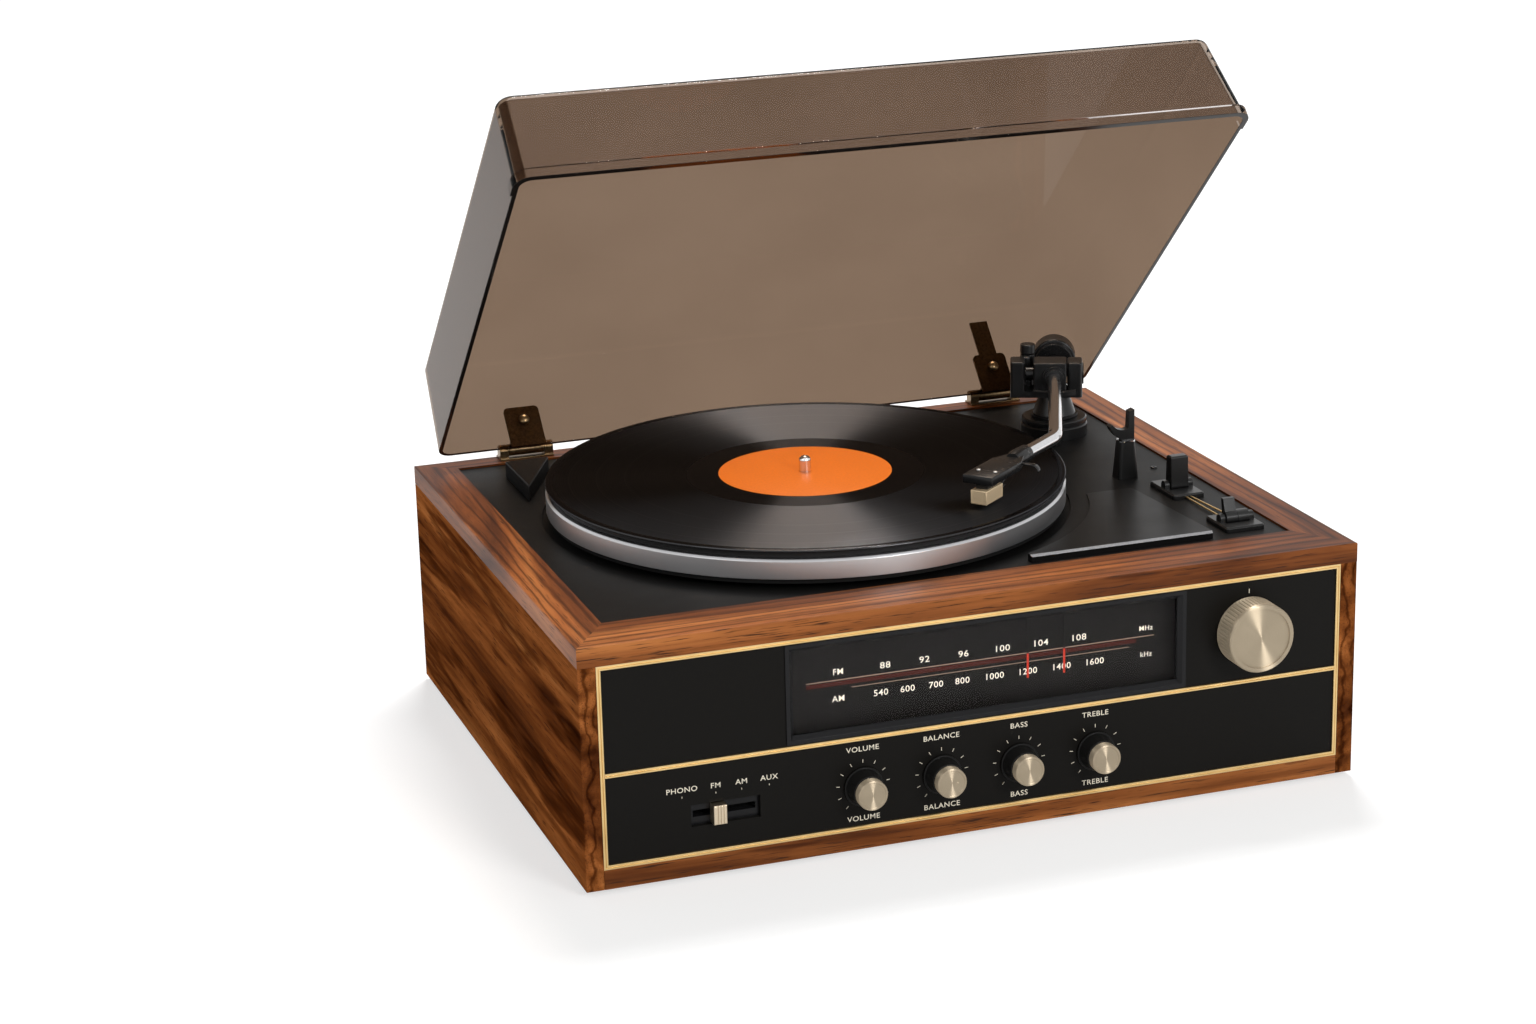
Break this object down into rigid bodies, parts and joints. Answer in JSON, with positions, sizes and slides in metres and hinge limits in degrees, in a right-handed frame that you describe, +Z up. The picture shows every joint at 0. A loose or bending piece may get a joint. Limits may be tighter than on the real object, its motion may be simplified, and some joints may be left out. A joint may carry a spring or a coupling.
{
  "type": "record_player",
  "caption": "Wooden turntable and radio receiver with a belt-driven platter, a J-shaped tonearm, a tuning dial and a hinged smoked dust cover",
  "frame": {"origin": "on the surface the feet stand on, under the middle of the wooden case", "axes": "+X to the right seen from the front, +Y to the back, +Z up"},
  "size_m": [0.448, 0.3983, 0.3948],
  "materials": {
    "walnut": "satin oiled veneer",
    "hardboard": "raw",
    "foot_rubber": "matte",
    "panel_black": "satin anodised",
    "brass": "polished and lacquered",
    "bezel_black": "satin",
    "dial_glass": "clear",
    "zinc": "zinc plated",
    "dial_black": "matte print",
    "pointer_red": "matte",
    "champagne": "spun and anodised",
    "knob_black": "satin",
    "deck_black": "fine textured",
    "platter_metal": "brushed",
    "hub_black": "matte",
    "mat_rubber": "matte",
    "vinyl": "grooved gloss",
    "label_paper": "printed",
    "chrome": "polished",
    "arm_black": "satin",
    "cartridge_shell": "satin",
    "lever_black": "satin",
    "smoked": "polished clear smoked",
    "socket_black": "satin",
    "rear_metal": "matte",
    "board_brown": "matte"
  },
  "bodies": {
    "chassis": {"top_frame": "walnut", "side_boards": "walnut", "bottom_rail": "walnut", "back_board": "walnut", "base_board": "hardboard", "feet": "foot_rubber", "front_panel": "panel_black", "brass_trim": "brass", "dial_bezel": "bezel_black", "dial_glass": "dial_glass", "dial_box": "zinc", "dial_plate": "dial_black", "panel_controls": "zinc", "selector_switch": "zinc", "deck_plate": "deck_black", "bearing_housing": "zinc", "motor": "zinc", "drive_belt": "foot_rubber", "arm_base": "arm_black", "arm_rest": "lever_black", "lever_plates": "lever_black", "raised_board": "deck_black", "corner_block": "deck_black", "hinge_brackets": "arm_black", "rear_panel": "rear_metal", "rear_sockets": "socket_black", "transformer": "zinc", "main_board": "board_brown", "tuning_gang": "zinc"},
    "platter_body": {"platter": "platter_metal", "sub_platter": "hub_black", "slip_mat": "mat_rubber", "record_disc": "vinyl", "record_label": "label_paper", "spindle": "chrome"},
    "pulley": {"motor_pulley": "brass"},
    "yoke": {"arm_yoke": "arm_black"},
    "tonearm": {"arm_block": "arm_black", "arm_tube": "chrome", "headshell": "arm_black", "cartridge": "cartridge_shell"},
    "weight": {"counterweight": "arm_black"},
    "anti_skate": {"anti_skate_dial": "lever_black"},
    "lift": {"lift_bar": "lever_black"},
    "cueing": {"cue_lever": "lever_black"},
    "starting": {"start_lever": "lever_black"},
    "tuning": {"tuning_knob": "champagne", "tuning_shaft": "zinc"},
    "volume": {"volume_knob": "knob_black", "volume_cap": "champagne"},
    "balance": {"balance_knob": "knob_black", "balance_cap": "champagne"},
    "bass": {"bass_knob": "knob_black", "bass_cap": "champagne"},
    "treble": {"treble_knob": "knob_black", "treble_cap": "champagne"},
    "selector": {"selector_slider": "champagne"},
    "pointer": {"dial_pointer": "pointer_red"},
    "cover": {"lid": "smoked", "hinge_leaves": "brass"}
  },
  "joints": [
    {"name": "lid_hinge", "type": "hinge", "parent": "chassis", "child": "cover", "pos_m": [0, 0.174, 0.143], "axis": [-1, 0, 0], "range_deg": [-43, 22]},
    {"name": "platter_spin", "type": "hinge", "parent": "chassis", "child": "platter_body", "pos_m": [-0.0315, 0.009, 0.15], "axis": [0, 0, 1], "continuous": true},
    {"name": "motor_pulley_spin", "type": "hinge", "parent": "chassis", "child": "pulley", "pos_m": [-0.10044, 0.06685, 0.145], "axis": [0, 0, 1], "continuous": true},
    {"name": "arm_swing", "type": "hinge", "parent": "chassis", "child": "yoke", "pos_m": [0.163, 0.094, 0.15], "axis": [0, 0, 1], "range_deg": [-16, 20]},
    {"name": "arm_tilt", "type": "hinge", "parent": "yoke", "child": "tonearm", "pos_m": [0.163, 0.094, 0.175], "axis": [-0.9171, 0.3987, 0], "range_deg": [0, 5]},
    {"name": "counterweight_slide", "type": "slide", "parent": "tonearm", "child": "weight", "axis": [0.3987, 0.9171, 0], "range_m": [-0.003, 0.006]},
    {"name": "anti_skate_turn", "type": "hinge", "parent": "yoke", "child": "anti_skate", "pos_m": [0.15402, 0.11448, 0.184], "axis": [0, 0, 1], "range_deg": [0, 270]},
    {"name": "lift_bar_slide", "type": "slide", "parent": "chassis", "child": "lift", "axis": [0, 0, 1], "range_m": [0, 0.0024]},
    {"name": "cue_lever_turn", "type": "hinge", "parent": "chassis", "child": "cueing", "pos_m": [0.1775, -0.05, 0.1416], "axis": [-1, 0, 0], "range_deg": [0, 45]},
    {"name": "start_lever_turn", "type": "hinge", "parent": "chassis", "child": "starting", "pos_m": [0.179, -0.1215, 0.1416], "axis": [-1, 0, 0], "range_deg": [-20, 20]},
    {"name": "tuning_turn", "type": "hinge", "parent": "chassis", "child": "tuning", "pos_m": [0.1584, -0.18, 0.0957], "axis": [0, 1, 0], "range_deg": [-919, 195]},
    {"name": "pointer_slide", "type": "slide", "parent": "chassis", "child": "pointer", "axis": [1, 0, 0], "range_m": [-0.092, 0.0196]},
    {"name": "volume_turn", "type": "hinge", "parent": "chassis", "child": "volume", "pos_m": [-0.0688, -0.18, 0.0388], "axis": [0, 1, 0], "range_deg": [-140, 140]},
    {"name": "balance_turn", "type": "hinge", "parent": "chassis", "child": "balance", "pos_m": [-0.0237, -0.18, 0.0388], "axis": [0, 1, 0], "range_deg": [-140, 140]},
    {"name": "bass_turn", "type": "hinge", "parent": "chassis", "child": "bass", "pos_m": [0.0214, -0.18, 0.0388], "axis": [0, 1, 0], "range_deg": [-140, 140]},
    {"name": "treble_turn", "type": "hinge", "parent": "chassis", "child": "treble", "pos_m": [0.0665, -0.18, 0.0388], "axis": [0, 1, 0], "range_deg": [-140, 140]},
    {"name": "selector_slide", "type": "slide", "parent": "chassis", "child": "selector", "axis": [1, 0, 0], "range_m": [-0.011, 0.0195]}
  ],
  "couplings": [
    {"joint": "motor_pulley_spin", "follows": "platter_spin", "ratio": 7.5},
    {"joint": "lift_bar_slide", "follows": "arm_tilt", "m_per_rad": 0.027},
    {"joint": "cue_lever_turn", "follows": "arm_tilt", "ratio": 9},
    {"joint": "pointer_slide", "follows": "tuning_turn", "m_per_rad": 0.0057296}
  ]
}
